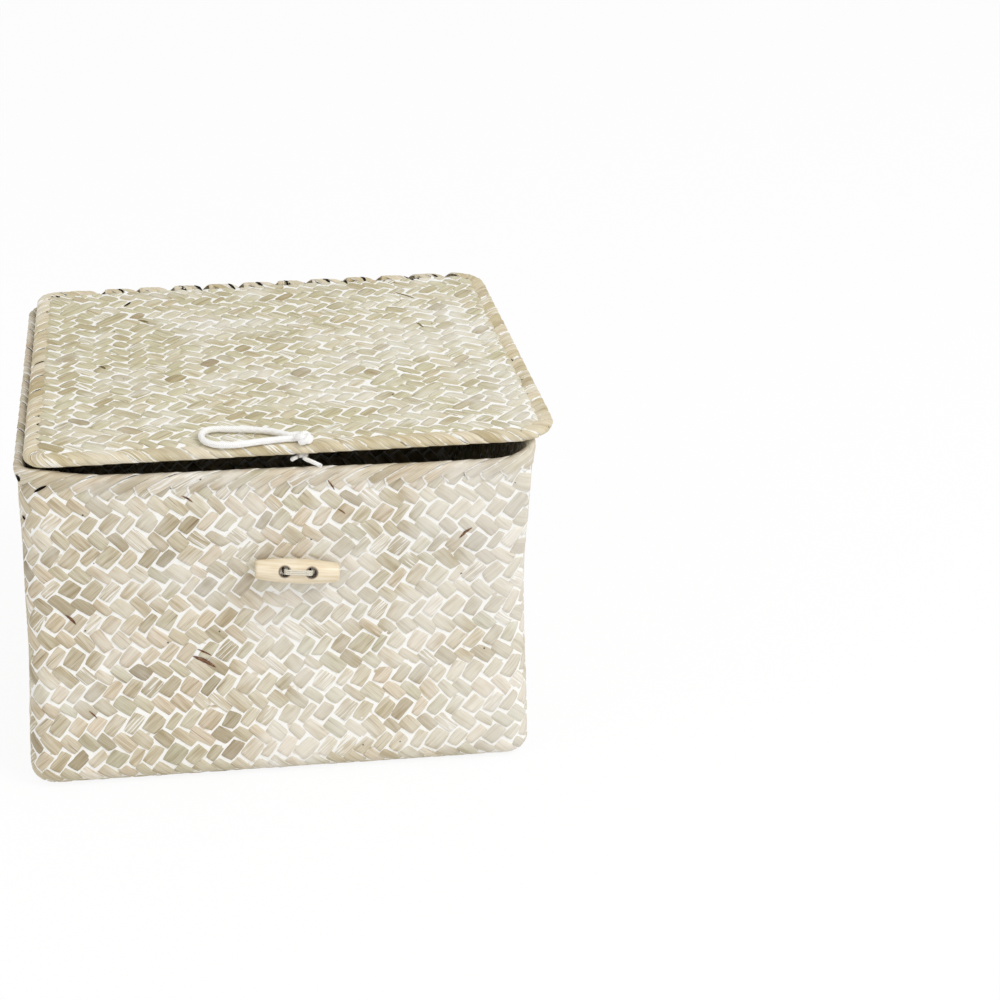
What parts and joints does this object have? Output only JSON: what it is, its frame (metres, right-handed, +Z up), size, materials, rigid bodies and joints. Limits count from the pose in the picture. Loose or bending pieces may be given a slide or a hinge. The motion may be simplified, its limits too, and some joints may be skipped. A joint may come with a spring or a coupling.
{
  "type": "woven lidded box",
  "caption": "Rectangular box plaited from flat seagrass strips, with a lid lashed along the rear, a cord loop on the lid and a wooden toggle on the front to hook it over.",
  "frame": {"origin": "centre of the base's underside, on the surface that the box stands on", "axes": "+Z up, +X to the right and -Y towards the front, where the toggle is; the lid's hinge runs along X at the rear"},
  "size_m": [0.2659, 0.248, 0.1866],
  "materials": {
    "seagrass_wall": "matte dried seagrass strips with a white wash in the joints",
    "seagrass_lining": "matte dried seagrass strips with a white wash in the joints",
    "seagrass_lid": "matte dried seagrass strips with a white wash in the joints",
    "seagrass_fold": "matte dried seagrass strips, folded",
    "seagrass_strap": "matte dried seagrass strip",
    "cotton_cord": "white braided cotton",
    "cotton_thread": "off-white waxed thread",
    "toggle_wood": "smooth pale turned wood"
  },
  "bodies": {
    "box": {"body_outer_weave": "seagrass_wall", "body_lining_weave": "seagrass_lining", "body_rim_fold": "seagrass_fold", "hinge_strap_01": "seagrass_strap", "hinge_strap_02": "seagrass_strap", "hinge_strap_03": "seagrass_strap", "hinge_strap_04": "seagrass_strap", "hinge_strap_05": "seagrass_strap", "hinge_strap_06": "seagrass_strap", "hinge_strap_07": "seagrass_strap", "hinge_strap_08": "seagrass_strap", "hinge_strap_09": "seagrass_strap", "hinge_strap_10": "seagrass_strap", "hinge_strap_11": "seagrass_strap", "toggle_thread": "cotton_thread"},
    "lid": {"lid_top_weave": "seagrass_lid", "lid_under_weave": "seagrass_lining", "lid_edge_fold": "seagrass_fold", "loop_stop_knot": "cotton_cord", "loop_tail_long": "cotton_cord", "loop_tail_short": "cotton_cord"},
    "loop": {"loop_cord": "cotton_cord", "loop_knot": "cotton_cord"},
    "toggle": {"toggle_button": "toggle_wood"}
  },
  "joints": [
    {"name": "lid_hinge", "type": "hinge", "parent": "box", "child": "lid", "pos_m": [0, 0.11645, 0.17535], "axis": [-1, 0, 0], "range_deg": [0, 120]},
    {"name": "loop_swing", "type": "hinge", "parent": "lid", "child": "loop", "pos_m": [0.015, -0.111, 0.18045], "axis": [0, 0, 1], "range_deg": [-90, 180]},
    {"name": "toggle_turn", "type": "hinge", "parent": "box", "child": "toggle", "pos_m": [0.01, -0.12053, 0.1129], "axis": [-0.0339, 0.951, -0.3072], "range_deg": [-7, 7]}
  ]
}
